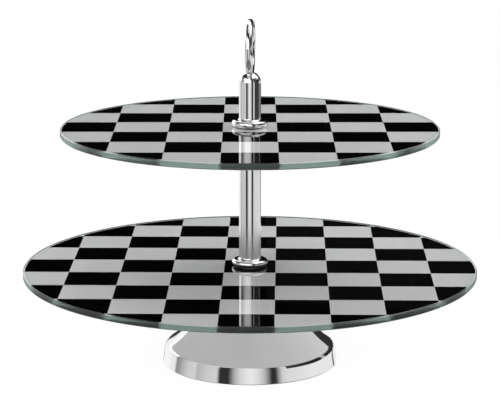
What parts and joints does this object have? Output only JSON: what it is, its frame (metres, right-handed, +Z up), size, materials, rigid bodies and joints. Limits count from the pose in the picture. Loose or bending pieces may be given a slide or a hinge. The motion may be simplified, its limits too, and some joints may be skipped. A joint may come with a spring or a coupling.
{
  "type": "two-tier cake stand",
  "caption": "Revolving tiered cake stand: round checker-printed glass plates on a chrome column with a ring handle, turning on a flared chrome pedestal.",
  "frame": {"origin": "on the axis of the stand, at the table under its feet", "axes": "+Z up along the axis of the column; the picture looks along +Y"},
  "size_m": [0.3, 0.3, 0.2302],
  "materials": {
    "chrome": "mirror chrome plate on steel",
    "steel": "turned steel, zinc plated",
    "cast_iron": "grey cast iron, painted",
    "cover": "black fibre board",
    "rubber": "soft black rubber",
    "bronze": "sintered bronze",
    "nylon": "natural nylon",
    "glass": "clear float glass, polished edge",
    "ink_black": "black enamel print",
    "ink_white": "white enamel print",
    "gasket": "black silicone"
  },
  "bodies": {
    "base": {"base_shell": "chrome", "base_weight": "cast_iron", "base_cover": "cover", "foot_1": "rubber", "foot_2": "rubber", "foot_3": "rubber", "foot_4": "rubber", "bearing_pillar": "steel", "pillar_screws": "steel", "upper_bush": "bronze", "lower_bush": "bronze", "lower_race": "steel"},
    "bearing_cage": {"ball_cage": "nylon", "bearing_balls": "steel"},
    "turntable": {"plate_carrier": "chrome", "column_tube": "chrome", "lower_collar": "chrome", "upper_collar": "chrome", "upper_seat_collar": "chrome", "handle_ferrule": "chrome", "ring_handle": "chrome", "upper_race": "steel", "spindle": "steel", "spindle_washer": "steel", "spindle_clip": "steel", "column_bottom_plug": "steel", "column_top_plug": "steel", "upper_stud": "steel", "lower_sleeve": "nylon", "upper_sleeve": "nylon", "lower_plate": "glass", "upper_plate": "glass", "lower_print_black": "ink_black", "upper_print_black": "ink_black", "lower_print_white": "ink_white", "upper_print_white": "ink_white", "lower_seat_gasket": "gasket", "lower_top_gasket": "gasket", "upper_seat_gasket": "gasket", "upper_top_gasket": "gasket"}
  },
  "joints": [
    {"name": "turntable_spin", "type": "hinge", "parent": "base", "child": "turntable", "pos_m": [0, 0, 0.0555], "axis": [0, 0, 1], "continuous": true},
    {"name": "cage_spin", "type": "hinge", "parent": "base", "child": "bearing_cage", "pos_m": [0, 0, 0.0555], "axis": [0, 0, 1], "continuous": true}
  ],
  "couplings": [
    {"joint": "cage_spin", "follows": "turntable_spin", "ratio": 0.5}
  ]
}
